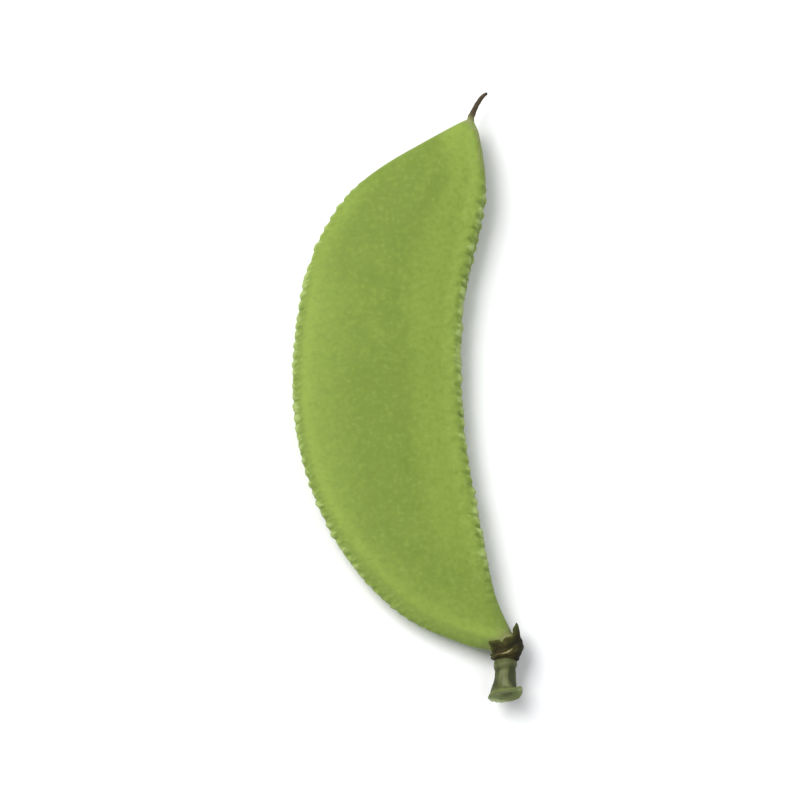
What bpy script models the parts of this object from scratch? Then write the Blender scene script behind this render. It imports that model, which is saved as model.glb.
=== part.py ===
"""A fresh, broad, flat bean pod, as picked, lying on one of its two broad faces.

The stalk points along -Y and the tip along +Y. The seam margin, on which the seeds hang, is
towards +X, and the back margin towards -X. The origin lies on the surface that carries the pod,
under the middle of its bounding box. Outline points are in millimetres, other sizes in metres.
"""
import math
import random

import bmesh
import bpy
import numpy as np

MM = 0.001

# Outline, from the calyx to the tip. Each rib runs from the back margin (x, y) to the seam
# margin (x, y). The first ribs lie in the calyx, below the end of the pod's own neck.
RIBS = (
    (-0.8, -44.3, 1.5, -44.3),
    (-1.2, -43.7, 2.0, -43.1),
    (-1.7, -43.0, 2.0, -41.2),
    (-3.0, -42.35, 1.2, -39.1),
    (-4.9, -41.9, 0.7, -37.8),
    (-9.0, -40.1, -0.1, -35.5),
    (-16.2, -35.8, -1.2, -31.4),
    (-23.6, -27.5, -2.2, -25.9),
    (-29.0, -17.1, -3.3, -17.8),
    (-31.9, -5.9, -4.4, -7.4),
    (-32.4, 6.1, -4.6, 4.5),
    (-30.5, 19.4, -3.4, 17.8),
    (-26.5, 30.8, -0.3, 29.3),
    (-19.3, 39.9, 1.7, 38.4),
    (-10.3, 45.3, 1.5, 44.6),
    (-3.5, 48.6, 1.0, 48.1),
    (-0.6, 49.9, 0.45, 49.4),
)
NECK_END = 1.5          # where the pod begins, counted in ribs
NECK_ROUND_TO = 4.0     # the neck is round as far as here
NECK_FLAT_FROM = 7.5    # and lens-shaped from here on
TIP_FLAT_TO = 14.4
TIP_ROUND_FROM = 16.0

# Cross-section, as half thicknesses
EDGE_HALF = 0.95 * MM           # thin valve next to the back margin
VALVE_RISE = 2.3 * MM           # what the middle of a valve has more
BACK_SLOPE = 4.5 * MM           # distance from the margin over which most of it is gained
SEAM_SLOPE = 3.5 * MM
SLOPE_POWER = 1.2
SEAM_BAND = 1.15 * MM           # what the thick seam margin has more
SEAM_BAND_WIDTH = 2.0 * MM
SLIM = 2.0 * MM                 # a rib this short has no thick seam margin
BROAD = 8.0 * MM                # and one this long has all of it
BACK_ROUNDING = 0.9 * MM
SEAM_ROUNDING = 1.0 * MM
SEAM_FACE_SHARE = 0.6           # share of the seam margin's thickness that is its blunt face
SEAM_FACE_ANGLE = math.radians(22.5)
NECK_THICKNESS = 0.82           # thickness over width of a slim round neck or tip
NECK_HALF = 2.3 * MM            # half thickness that a broad one comes near

# Lie of the pod on its surface
REST_HEIGHT = 3.05 * MM         # middle plane over the flat spot
BOW = 1.1 * MM                  # both ends stand this much higher
TWIST = math.radians(3.0)       # the seam margin lifts by this towards the tip

# Low swellings over the seeds
SEED_RIBS = (7.3, 8.8, 10.3, 11.8, 13.0)
SEED_FROM_SEAM = 0.44           # share of the rib
SEED_LENGTH = 6.0 * MM
SEED_WIDTH = 5.0 * MM
SEED_HEIGHT = 0.4 * MM

# Rough margins: rows of small warts, and the groove between the two rims of the seam
SEAM_RIM = 1.75 * MM            # from the groove round to a rim
SEAM_WARTS = (2.0 * MM, 0.85 * MM, 0.45 * MM)       # spacing, radius and height
SHOULDER_AT = 3.4 * MM
SHOULDER_WARTS = (3.1 * MM, 0.95 * MM, 0.26 * MM)
BACK_RIM = 0.5 * MM
BACK_WARTS = (1.8 * MM, 0.70 * MM, 0.36 * MM)
GROOVE_DEPTH = 0.42 * MM
GROOVE_WIDTH = 0.60 * MM
WART_SPACINGS = (0.75, 1.25)    # how much warts differ, as shares
WART_SIZES = (0.7, 1.2)
WART_PLACES = (0.85, 1.15)
WART_SEED = 11
WARTS_TO = 12.6                 # the warts fade from here, counted in ribs
SMOOTH_FROM = 13.3              # and the margins are smooth from here to the tip
END_DOME = 0.25 * MM            # how far the pod's two ends bulge

# Calyx, pedicel and style
GAP = 0.3 * MM
CALYX_WALL = 0.75 * MM
CALYX_FLARE = 0.35 * MM         # the rim stands off the pod by this much more
CALYX_BOTTOM = 0.0              # counted in ribs
CALYX_FLOOR = 1.05
CALYX_RIM = 2.2
CALYX_SLANT = 0.25              # the rim is this much higher at the seam and lower at the back
LOBE_SPREAD = 0.2               # share of the way round that a lobe takes
LOBES = ((0.01, 0.70), (0.22, 0.45), (0.345, 1.25), (0.55, 0.20), (0.80, 0.70))
PEDICEL_PATH = (
    (0.06, -44.8, 1.9),
    (-0.08, -46.4, 1.78),
    (-0.28, -47.9, 1.9),
    (-0.4, -49.3, 2.2),
    (-0.38, -50.75, 2.8),
)
SCAR_RINGS = ((0.78, 0.12 * MM), (0.5, 0.5 * MM))   # share of the cut end's radius, and depth
STYLE_PATH = (
    (0.04, 50.2, 0.58),
    (0.43, 51.0, 0.5),
    (1.18, 52.4, 0.43),
    (2.08, 53.6, 0.38),
    (2.88, 54.2, 0.3),
)
STYLE_POINT = 0.2 * MM

# Mesh density
FINE_STEPS = 1601               # for measuring lengths along the margins
POD_STATIONS = 130
POD_AROUND = 32
CALYX_AROUND = 30
CALYX_RINGS = 7
PEDICEL_AROUND = 16
PEDICEL_RINGS = 9
STYLE_AROUND = 10
STYLE_RINGS = 11
SHARP_ANGLE = math.radians(50.0)
LEVEL = 1e-9


def spline(rows, at):
    """Reads the natural cubic spline through rows, whose knots are whole numbers, at each value of at."""
    rows = np.asarray(rows, float)
    last = len(rows) - 1
    bend = np.zeros_like(rows)
    system = np.diag(np.full(last - 1, 4.0))
    system += np.diag(np.ones(last - 2), 1) + np.diag(np.ones(last - 2), -1)
    bend[1:last] = np.linalg.solve(system, 6.0 * (rows[2:] - 2.0 * rows[1:-1] + rows[:-2]))
    start = np.clip(np.floor(at).astype(int), 0, last - 1)
    after = (at - start)[:, None]
    before = 1.0 - after
    straight = before * rows[start] + after * rows[start + 1]
    return straight + ((before ** 3 - before) * bend[start] + (after ** 3 - after) * bend[start + 1]) / 6.0


def smooth_step(value, low, high):
    """Rises smoothly from 0 at low to 1 at high."""
    share = np.clip((value - low) / (high - low), 0.0, 1.0)
    return share * share * (3.0 - 2.0 * share)


def rib_ends(ribs):
    """Back and seam ends of the ribs at these places, in metres."""
    ends = spline(RIBS, ribs) * MM
    return ends[:, :2], ends[:, 2:]


def margin_lengths(ribs):
    """Length along the back margin and along the seam margin up to each rib."""
    fine = np.linspace(0.0, len(RIBS) - 1.0, FINE_STEPS)
    lengths = []
    for ends in rib_ends(fine):
        steps = np.linalg.norm(np.diff(ends, axis=0), axis=1)
        lengths.append(np.interp(ribs, fine, np.concatenate([[0.0], np.cumsum(steps)])))
    return lengths


def even_ribs(first, last, count):
    """Ribs at even steps along whichever margin is the longer at each place."""
    fine = np.linspace(first, last, FINE_STEPS)
    back, seam = margin_lengths(fine)
    steps = np.maximum(np.diff(back), np.diff(seam))
    walked = np.concatenate([[0.0], np.cumsum(steps)])
    return np.interp(np.linspace(0.0, walked[-1], count), walked, fine)


def half_thickness(from_back, from_seam):
    """Half thickness of the lens-shaped section at these distances from its two margins."""
    back_rise = 1.0 - np.exp(-((from_back / BACK_SLOPE) ** SLOPE_POWER))
    seam_rise = 1.0 - np.exp(-((from_seam / SEAM_SLOPE) ** SLOPE_POWER))
    band = SEAM_BAND * np.exp(-((from_seam / SEAM_BAND_WIDTH) ** 2))
    band = band * smooth_step(from_back + from_seam, SLIM, BROAD)
    full = EDGE_HALF + VALVE_RISE * back_rise * seam_rise + band
    back_in = np.clip(1.0 - from_back / BACK_ROUNDING, 0.0, 1.0)
    seam_in = np.clip(1.0 - from_seam / SEAM_ROUNDING, 0.0, 1.0)
    seam_edge = SEAM_FACE_SHARE + (1.0 - SEAM_FACE_SHARE) * np.sqrt(1.0 - seam_in ** 2)
    return full * np.sqrt(1.0 - back_in ** 2) * seam_edge


def seed_swelling(ribs, from_seam, width):
    """Height of the swellings over the seeds."""
    _, along = margin_lengths(ribs)
    _, centres = margin_lengths(np.array(SEED_RIBS))
    swelling = np.zeros_like(from_seam)
    for centre in centres:
        lengthwise = ((along[:, None] - centre) / SEED_LENGTH) ** 2
        across = ((from_seam - SEED_FROM_SEAM * width) / SEED_WIDTH) ** 2
        swelling += SEED_HEIGHT * np.exp(-lengthwise - across)
    return swelling


def wart_rows(length, rim, warts, draw):
    """Warts on both rims of a margin: place along it, place round it, radius and height."""
    spacing, radius, height = warts
    rows = []
    for side in (1.0, -1.0):
        along = spacing
        while along < length - spacing:
            round_by = side * rim * draw.uniform(*WART_PLACES)
            broad = radius * draw.uniform(*WART_SIZES)
            rows.append((along, round_by, broad, height * draw.uniform(*WART_SIZES)))
            along += spacing * draw.uniform(*WART_SPACINGS)
    return rows


def warts_height(along, round_by, rows):
    """Sum of all warts at each point of a margin."""
    height = np.zeros_like(round_by)
    for centre, level, radius, top in rows:
        near = np.abs(along - centre) < 3.0 * radius
        reach = (along[near, None] - centre) ** 2 + (round_by[near] - level) ** 2
        height[near] += top * np.exp(-reach / radius ** 2)
    return height


def section_frame(ribs):
    """Middle of each rib, its unit vector, its width and the height and twist of the middle plane."""
    back, seam = rib_ends(ribs)
    width = np.linalg.norm(seam - back, axis=1)
    across = (seam - back) / width[:, None]
    _, along = margin_lengths(np.append(ribs, len(RIBS) - 1.0))
    share = along[:-1] / along[-1]
    height = REST_HEIGHT + BOW * (2.0 * share - 1.0) ** 2
    twist = TWIST * smooth_step(share, 0.5, 1.0)
    return (back + seam) / 2.0, across, width, height, twist


def lens_section(ribs, width, angle):
    """Lens-shaped sections with a blunt seam face, as distances out along the rib and up from its plane."""
    over_top = angle <= math.pi
    opened = np.where(over_top, angle, 2.0 * math.pi - angle)
    turned = np.clip((opened - SEAM_FACE_ANGLE) / (math.pi - SEAM_FACE_ANGLE), 0.0, 1.0) * math.pi
    from_seam = width * (1.0 - np.cos(turned)) / 2.0
    thick = half_thickness(width - from_seam, from_seam) + seed_swelling(ribs, from_seam, width)
    up_face = np.clip(opened / SEAM_FACE_ANGLE, 0.0, 1.0)
    return width / 2.0 - from_seam, np.where(over_top, 1.0, -1.0) * thick * up_face


def round_section(width, angle):
    """Oval sections of the neck and the tip."""
    up = NECK_HALF * np.tanh(width / 2.0 * NECK_THICKNESS / NECK_HALF)
    return width / 2.0 * np.cos(angle), up * np.sin(angle)


def outward_direction(out, up):
    """Unit direction away from each section's inside."""
    slope_out = np.roll(out, -1, 1) - np.roll(out, 1, 1)
    slope_up = np.roll(up, -1, 1) - np.roll(up, 1, 1)
    slope = np.hypot(slope_out, slope_up)
    return slope_up / slope, -slope_out / slope


def pod_surface(ribs, around, rough=True):
    """Grid of points round each rib, from the seam face over the top, and the outward direction at each."""
    middle, across, width, height, twist = section_frame(ribs)
    width = width[:, None]
    angle = np.linspace(0.0, 2.0 * math.pi, around, endpoint=False)
    lens_out, lens_up = lens_section(ribs, width, angle)
    round_out, round_up = round_section(width, angle)
    neck = 1.0 - smooth_step(ribs, NECK_ROUND_TO, NECK_FLAT_FROM)
    tip = smooth_step(ribs, TIP_FLAT_TO, TIP_ROUND_FROM)
    roundness = np.maximum(neck, tip)[:, None]
    out = lens_out + (round_out - lens_out) * roundness
    up = lens_up + (round_up - lens_up) * roundness
    normal_out, normal_up = outward_direction(out, up)
    if rough:
        raised = margin_relief(ribs, out, up) * (1.0 - roundness)
        out = out + raised * normal_out
        up = up + raised * normal_up
    points = placed(middle, across, height, twist, out, up)
    outward = placed(0.0 * middle, across, 0.0 * height, twist, normal_out, normal_up)
    return points, outward


def margin_relief(ribs, out, up):
    """Height of the warts and the seam groove at each point of the sections."""
    steps = np.hypot(np.diff(out, axis=1, append=out[:, :1]), np.diff(up, axis=1, append=up[:, :1]))
    walked = np.cumsum(steps, axis=1) - steps
    whole = steps.sum(axis=1, keepdims=True)
    from_groove = np.where(walked > whole / 2.0, walked - whole, walked)
    from_back_edge = whole / 2.0 - walked
    along_back, along_seam = margin_lengths(ribs)
    draw = random.Random(WART_SEED)
    seam_rows = wart_rows(along_seam[-1], SEAM_RIM, SEAM_WARTS, draw)
    seam_rows += wart_rows(along_seam[-1], SHOULDER_AT, SHOULDER_WARTS, draw)
    back_rows = wart_rows(along_back[-1], BACK_RIM, BACK_WARTS, draw)
    relief = warts_height(along_seam, from_groove, seam_rows)
    relief += warts_height(along_back, from_back_edge, back_rows)
    relief *= 1.0 - smooth_step(ribs, WARTS_TO, SMOOTH_FROM)[:, None]
    return relief - GROOVE_DEPTH * np.exp(-((from_groove / GROOVE_WIDTH) ** 2))


def placed(middle, across, height, twist, out, up):
    """Points of sections in space, from their distances out along the rib and up from the middle plane."""
    flat = out * np.cos(twist)[:, None] - up * np.sin(twist)[:, None]
    tall = out * np.sin(twist)[:, None] + up * np.cos(twist)[:, None]
    points = np.empty(out.shape + (3,))
    points[..., :2] = middle[:, None] + flat[..., None] * across[:, None]
    points[..., 2] = height[:, None] + tall
    return points


def add_loops(mesh, loops):
    """Adds closed loops of points and joins each to the next with quads."""
    rows = [[mesh.verts.new(point) for point in loop] for loop in loops]
    for low, high in zip(rows, rows[1:]):
        count = len(low)
        for k in range(count):
            mesh.faces.new((low[k], low[(k + 1) % count], high[(k + 1) % count], high[k]))
    return rows


def cap(mesh, loop, tip):
    """Closes a loop with a fan of triangles round one point."""
    centre = mesh.verts.new(tip)
    for k, vert in enumerate(loop):
        mesh.faces.new((vert, loop[(k + 1) % len(loop)], centre))


def make_object(name, mesh, material):
    """Turns a bmesh into a named, smooth-shaded object with its material."""
    bmesh.ops.recalc_face_normals(mesh, faces=mesh.faces)
    data = bpy.data.meshes.new(name)
    mesh.to_mesh(data)
    mesh.free()
    data.shade_smooth()
    data.set_sharp_from_angle(angle=SHARP_ANGLE)
    data.materials.append(material)
    thing = bpy.data.objects.new(name, data)
    bpy.context.scene.collection.objects.link(thing)
    return thing


def make_material(name, colour, roughness):
    """Plain non-metallic material."""
    material = bpy.data.materials.new(name)
    material.use_nodes = True
    shader = material.node_tree.nodes["Principled BSDF"]
    shader.inputs["Base Color"].default_value = (*colour, 1.0)
    shader.inputs["Roughness"].default_value = roughness
    shader.inputs["Metallic"].default_value = 0.0
    return material


def make_pod():
    """The closed two-valved pod, cut level where it rests."""
    ribs = even_ribs(NECK_END, len(RIBS) - 1.0, POD_STATIONS)
    points, _ = pod_surface(ribs, POD_AROUND)
    points[..., 2] = np.maximum(points[..., 2], 0.0)
    mesh = bmesh.new()
    rows = add_loops(mesh, points)
    for end, beside in ((0, 1), (-1, -2)):
        middle = points[end].mean(axis=0)
        outward = middle - points[beside].mean(axis=0)
        cap(mesh, rows[end], middle + outward / np.linalg.norm(outward) * END_DOME)
    level = {face for face in mesh.faces if all(vert.co.z < LEVEL for vert in face.verts)}
    inner = [edge for edge in mesh.edges if level.issuperset(edge.link_faces)]
    bmesh.ops.dissolve_edges(mesh, edges=inner, use_verts=True)
    return make_object("pod", mesh, make_material("pod skin", (0.30, 0.42, 0.09), 0.6))


def lobe_reach(angle):
    """How far the calyx's rim reaches past its base line at this angle, counted in ribs."""
    reach = 0.0
    for place, height in LOBES:
        apart = abs((angle / (2.0 * math.pi) - place + 0.5) % 1.0 - 0.5)
        reach = max(reach, height * (1.0 - apart / (LOBE_SPREAD / 2.0)))
    return reach + CALYX_SLANT * math.cos(angle)


def offset_ring(ribs, distance):
    """Ring round the pod's neck at this distance from it, with its own rib for each angle."""
    points, outward = pod_surface(np.array(ribs), CALYX_AROUND, rough=False)
    own = np.arange(CALYX_AROUND)
    return points[own, own] + outward[own, own] * distance


def make_calyx():
    """The dry cup round the neck, a shell with pointed lobes and a solid base."""
    angles = [2.0 * math.pi * k / CALYX_AROUND for k in range(CALYX_AROUND)]
    rims = [CALYX_RIM + lobe_reach(angle) for angle in angles]
    outside = []
    for step in range(CALYX_RINGS + 1):
        share = step / CALYX_RINGS
        ribs = [CALYX_BOTTOM + (rim - CALYX_BOTTOM) * share for rim in rims]
        outside.append(offset_ring(ribs, GAP + CALYX_WALL + CALYX_FLARE * share))
    inside = []
    for step in range(CALYX_RINGS + 1):
        share = 1.0 - step / CALYX_RINGS
        ribs = [CALYX_FLOOR + (rim - CALYX_FLOOR) * share for rim in rims]
        inside.append(offset_ring(ribs, GAP + CALYX_FLARE * share))
    mesh = bmesh.new()
    rows = add_loops(mesh, outside + inside)
    cap(mesh, rows[0], np.mean(outside[0], axis=0))
    cap(mesh, rows[-1], np.mean(inside[-1], axis=0))
    return make_object("calyx", mesh, make_material("dry calyx", (0.10, 0.075, 0.035), 0.85))


def end_height(rib):
    """Height of the middle plane at one end of the pod."""
    return section_frame(np.array([rib]))[3][0]


def tube_rings(path, count, around, height):
    """Rings round a path of (x, y, radius) points in millimetres, at this height."""
    places = np.linspace(0.0, len(path) - 1.0, count)
    rows = spline(path, places) * MM
    steps = np.gradient(rows[:, :2], axis=0)
    steps /= np.linalg.norm(steps, axis=1)[:, None]
    rings = []
    for (x, y, radius), (step_x, step_y) in zip(rows, steps):
        ring = []
        for k in range(around):
            angle = 2.0 * math.pi * k / around
            out = radius * math.cos(angle)
            ring.append((x - step_y * out, y + step_x * out, height + radius * math.sin(angle)))
        rings.append(ring)
    return rings, np.append(steps[-1], 0.0)


def make_pedicel():
    """The stalk stub, from the calyx to the flared, hollowed cut scar."""
    rings, direction = tube_rings(PEDICEL_PATH, PEDICEL_RINGS, PEDICEL_AROUND, end_height(0.0))
    last = np.array(rings[-1])
    middle = last.mean(axis=0)
    for share, depth in SCAR_RINGS:
        rings.append(middle + (last - middle) * share - direction * depth)
    mesh = bmesh.new()
    rows = add_loops(mesh, rings)
    cap(mesh, rows[0], np.mean(rings[0], axis=0))
    cap(mesh, rows[-1], np.mean(rings[-1], axis=0))
    return make_object("pedicel", mesh, make_material("stalk", (0.22, 0.23, 0.09), 0.75))


def make_style():
    """The short dry beak at the tip."""
    rings, direction = tube_rings(STYLE_PATH, STYLE_RINGS, STYLE_AROUND, end_height(len(RIBS) - 1.0))
    mesh = bmesh.new()
    rows = add_loops(mesh, rings)
    cap(mesh, rows[0], np.mean(rings[0], axis=0))
    cap(mesh, rows[-1], np.mean(rings[-1], axis=0) + direction * STYLE_POINT)
    return make_object("style", mesh, make_material("dry style", (0.12, 0.10, 0.05), 0.85))


def centre_on_origin(things):
    """Moves all meshes so that the origin lies under the middle of their common box."""
    points = np.array([tuple(vert.co) for thing in things for vert in thing.data.vertices])
    middle = (points.min(axis=0) + points.max(axis=0)) / 2.0
    for thing in things:
        for vert in thing.data.vertices:
            vert.co.x -= middle[0]
            vert.co.y -= middle[1]


def main():
    for thing in list(bpy.data.objects):
        bpy.data.objects.remove(thing, do_unlink=True)
    centre_on_origin([make_pod(), make_calyx(), make_pedicel(), make_style()])


main()
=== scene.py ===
"""Looks of a fresh flat bean pod, lying on one of its broad faces.

Four pieces stand for the four solids of the model: the pod with its rough margins, the dry calyx
round its neck, the stalk stub below it and the dry style at its tip. The stalk points along -Y,
and the seam margin lies towards +X. Places along the pod are counted in ribs, from 0 in the calyx
to 16 at the tip. Places round a section are shares of a turn: 0 towards +X, 0.25 on top.
"""
import math
import random

import bpy
import numpy as np
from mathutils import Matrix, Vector


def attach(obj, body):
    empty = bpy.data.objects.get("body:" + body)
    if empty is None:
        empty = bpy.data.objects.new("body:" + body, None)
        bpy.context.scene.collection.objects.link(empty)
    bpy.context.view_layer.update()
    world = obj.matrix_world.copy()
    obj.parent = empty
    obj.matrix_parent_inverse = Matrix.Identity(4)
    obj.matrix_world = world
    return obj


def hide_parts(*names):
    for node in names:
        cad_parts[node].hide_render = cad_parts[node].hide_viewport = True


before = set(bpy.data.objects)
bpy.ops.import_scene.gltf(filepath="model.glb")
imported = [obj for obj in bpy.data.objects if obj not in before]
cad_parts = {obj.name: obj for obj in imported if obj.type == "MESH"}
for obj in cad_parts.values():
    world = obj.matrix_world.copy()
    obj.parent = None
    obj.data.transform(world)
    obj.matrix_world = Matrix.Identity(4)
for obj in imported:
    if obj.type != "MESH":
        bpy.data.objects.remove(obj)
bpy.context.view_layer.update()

MM = 0.001
TURN = 2.0 * math.pi
UP = (0.0, 0.0, 1.0)

# Outline in mm. Each rib runs from the back margin (x, y) to the seam margin (x, y).
RIBS = (
    (-0.8, -44.3, 1.5, -44.3),
    (-1.2, -43.7, 2.0, -43.1),
    (-1.7, -43.0, 2.0, -41.2),
    (-3.0, -42.35, 1.2, -39.1),
    (-4.9, -41.9, 0.7, -37.8),
    (-9.0, -40.1, -0.1, -35.5),
    (-16.2, -35.8, -1.2, -31.4),
    (-23.6, -27.5, -2.2, -25.9),
    (-29.0, -17.1, -3.3, -17.8),
    (-31.9, -5.9, -4.4, -7.4),
    (-32.4, 6.1, -4.6, 4.5),
    (-30.5, 19.4, -3.4, 17.8),
    (-26.5, 30.8, -0.3, 29.3),
    (-19.3, 39.9, 1.7, 38.4),
    (-10.3, 45.3, 1.5, 44.6),
    (-3.5, 48.6, 1.0, 48.1),
    (-0.6, 49.9, 0.45, 49.4),
)
LAST_RIB = len(RIBS) - 1.0
ROW_SHIFT = (0.01485058, -0.00181090, 0.0)  # from the outline's own origin to the row's
NECK_END = 1.5  # where the pod begins
NECK_FLATTENS = (4.0, 7.5)  # from a round section to a lens
TIP_ROUNDS = (14.4, 16.0)

# Cross-section, as half thicknesses
EDGE_HALF = 0.95 * MM  # thin valve next to the back margin
VALVE_RISE = 2.3 * MM  # what the middle of a valve has more
BACK_SLOPE = 4.5 * MM  # most of it is gained over this distance
SEAM_SLOPE = 3.5 * MM
SLOPE_POWER = 1.2
SEAM_BAND = (2.0 * MM, 1.15 * MM)  # what the thick seam margin has more: spread and height
SEAM_BAND_RIBS = (2.0 * MM, 8.0 * MM)  # it grows from none to full between these lengths of rib
BACK_ROUNDING = 0.9 * MM
SEAM_ROUNDING = 1.0 * MM
SEAM_FACE_SHARE = 0.6  # of the seam margin's thickness
SEAM_FACE_ANGLE = math.radians(22.5)
NECK_THICKNESS = 0.82  # over width, of a slim round neck or tip
NECK_HALF = 2.3 * MM  # half thickness that a broad one comes near
CORNER_SOFTNESS = 0.28 * MM

# Lie of the pod on its surface
REST_HEIGHT = 3.05 * MM
BOW = 1.1 * MM
TWIST = math.radians(3.0)
TWIST_FROM = 0.5  # share of the length

# Low swellings over the seeds
SEED_RIBS = (7.3, 8.8, 10.3, 11.8, 13.0)
SEED_FROM_SEAM = 0.44
SEED_LENGTH = 6.0 * MM
SEED_WIDTH = 5.0 * MM
SEED_HEIGHT = 0.4 * MM

# Warts of the solid model: spacing, radius and height
SEAM_RIM = 1.75 * MM  # from the groove to the rim beside it
SEAM_WARTS = (2.0 * MM, 0.85 * MM, 0.45 * MM)
SHOULDER_AT = 3.4 * MM
SHOULDER_WARTS = (3.1 * MM, 0.95 * MM, 0.26 * MM)
BACK_RIM = 0.5 * MM
BACK_WARTS = (1.8 * MM, 0.70 * MM, 0.36 * MM)
GROOVE_DEPTH = 0.42 * MM
GROOVE_WIDTH = 0.60 * MM
WART_SPACINGS = (0.75, 1.25)
WART_SIZES = (0.7, 1.2)
WART_PLACES = (0.85, 1.15)
WART_REACH = 3.0  # a wart is left out beyond this many radii
WART_SEED = 11
WARTS_FADE = (12.6, 13.3)  # the margins are smooth from there to the tip
END_DOME = 0.25 * MM

# Fine bumps and clefts between them, in mm: distance from the groove or the back edge and its spread,
# spacing, half length, half width, turn in degrees from the margin and its spread, and height
SEAM_BUMPS = (
    (1.85, 0.40, 1.05, 0.60, 0.32, 62, 22, 0.13),
    (0.95, 0.18, 0.85, 0.34, 0.26, 40, 30, 0.08),
    (2.95, 0.40, 1.10, 0.52, 0.30, 60, 30, 0.11),
    (3.85, 0.45, 1.40, 0.46, 0.30, 55, 40, 0.06),
    (4.90, 0.60, 2.00, 0.40, 0.32, 50, 50, 0.035),
)
SEAM_CLEFTS = (
    (3.10, 0.45, 2.30, 0.50, 0.18, 58, 30, 0.10),
    (1.15, 0.15, 2.60, 0.60, 0.18, 45, 20, 0.14),
)
BACK_BUMPS = (
    (0.20, 0.25, 1.10, 0.45, 0.32, 70, 25, 0.12),
    (1.35, 0.30, 0.95, 0.80, 0.27, 78, 15, 0.12),
    (2.60, 0.50, 1.60, 0.60, 0.30, 70, 25, 0.05),
)
BACK_CLEFTS = (
    (1.10, 0.30, 2.10, 0.60, 0.17, 75, 20, 0.10),
)
BUMP_STARTS = (0.2, 1.0)  # first bump of a row, in spacings
BUMP_SPACINGS = (0.6, 1.4)
BUMP_SIZES = (0.6, 1.4)
BUMP_HEIGHTS = (0.55, 1.2)
BUMP_REACH = 2.2  # a bump is left out beyond this many half lengths
BUMP_POWER = 1.35
BUMP_SEED = 23

# Clefts between neighbouring warts of a rim: as above, without a spread of distance and a spacing
SEAM_NOTCH = (2.10, 0.80, 0.23, 64, 20, 0.26)
BACK_NOTCH = (0.75, 0.70, 0.22, 80, 12, 0.15)
NOTCH_SHIFTS = (-0.15, 0.15)  # along the margin
NOTCH_LEVELS = (-0.2, 0.2)  # round it
NOTCH_LENGTHS = (0.75, 1.2)
NOTCH_WIDTHS = (0.8, 1.2)
NOTCH_DEPTHS = (0.35, 1.15)

# Low ridge along the back margin
BACK_RIDGE_AT = 2.9  # from the back edge, in mm
BACK_RIDGE_NEAR_BASE = 1.1  # farther in by this much near the calyx
BACK_RIDGE_DRAWS_IN = (6.5, 8.3)
BACK_RIDGE = (1.0 * MM, 0.12 * MM)  # spread and height
BACK_RIDGE_STARTS = (5.0, 7.0)
BACK_RIDGE_ENDS = (11.5, 13.0)

# Zones of the skin's colours: where they begin and end to rise, and how high if not to 1
NECK_DRY = (5.2, 2.6, 0.8)
SEAM_LIGHT_ZONE = (5.6, 7.8)
MIDDLE_ZONE = (8.0, 9.6)
TOP_ZONE = (10.9, 11.7)
TIP_ZONE = (11.8, 13.2)
BACK_LIGHT_LOSS = (12.4, 13.4, 0.85)
WITHERED_DRY = (12.8, 13.5, 0.8)
APEX_DRY = (15.2, 16.0, 0.9)

# Light band beside the seam. Each row is a value near the base, what the tip adds to it, and what the
# place adds where the band is broader.
BROAD_PLACE = (11.6, 0.8)  # rib and length
SEAM_LIGHT = (
    (7.4, -1.0, 0.0),  # full as far as here, in mm
    (12.4, -2.4, 3.2),  # gone from here
    (0.62, 0.28, 0.0),  # strength
)

# Pale band beside the back margin, and a painted highlight along its ridge. Each row is a value near the
# base, what the middle adds to it, and what the top adds.
BACK_BAND_AND_RIDGE_HIGHLIGHT = (
    (10.0, 2.5, -6.8),  # width of the band, in mm
    (0.78, 0.15, -0.10),  # its strength
    (1.6, -0.4, 0.0),  # width of the painted highlight
    (0.38, -0.12, -0.10),  # its strength
)

# Painted shade: darker strips at the very margins, where they round away
SEAM_SHADE_STRIP = (1.8 * MM, 4.2 * MM)
BACK_SHADE_STRIP = (1.5 * MM, 0.2 * MM)  # this far outside the ridge's middle
STRIP_SHADE_SHARE = 0.75
STRIP_SHADE_TIP_LOSS = 0.8

# Dry strips beside the seam towards the tip
WITHERED_AT = 1.9 * MM
WITHERED_WIDTH = 1.1 * MM

# How much each kind of bump and cleft shows in the skin's colours: bump crests show as pale tips, partly
# painted highlight, and clefts and the groove as painted shade
RIM_WART_SHADE = 0.9
SEAM_BUMP_SHADE = 1.1
BACK_BUMP_SHADE = 1.7
FULL_WART = 0.42 * MM
FULL_CLEFT = 0.30 * MM
GROOVE_SHADE = 0.55

# Calyx. Heights along the neck are in ribs, distances from the neck in mm. A kind of noise is the size
# of its features, or their number round a ring, its height and its seed.
CALYX_SHADES = ("relief", "rim", "tone", "rust", "lip")
CALYX_FLOOR = 1.05
CALYX_RIM = 2.2
CALYX_SLANT = 0.25  # the rim is higher by this at the seam
LOBES = ((0.01, 0.70), (0.22, 0.45), (0.345, 1.25), (0.55, 0.20), (0.80, 0.70))
LOBE_HALF = 0.1
LOBE_POWER = 1.15
CALYX_FOOT = ((0.55, 0.35), (0.68, 0.42), (0.80, 0.40), (0.90, 0.30), (0.97, 0.13))
CALYX_FOOT_DOME = 0.1 * MM
CALYX_DOWN_FROM = 6  # ring that gives the way down
RIM_TATTERS = (26.0, 0.14, 3)
RIM_FRAY = (60.0, 0.07, 4)
RIM_CURL = (7.0, 0.16, 5)
RIM_ZONE = (0.6, 1.0)  # shares of the height where the rim bends
RIM_DRAWN_IN = 0.20
CUP_DISTANCE = 1.0
CUP_BELLY = 0.12
FOLD_COUNT = 1.47
FOLD_START = 0.235
FOLD_HEIGHT = 0.13
FOLD_FOOT = 0.15  # share of a fold's rise that the foot already has
FOLD_WANDER = 0.14
FOLD_BREAKS = (1.8, 0.10, 16)
WANDER = (6.0, 1.0, 15)
FINE_FOLD_COUNT = 3.0  # fine folds for each broad one
FINE_FOLD_HEIGHT = 0.35
FINE_FOLD_WANDER = 0.4
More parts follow.
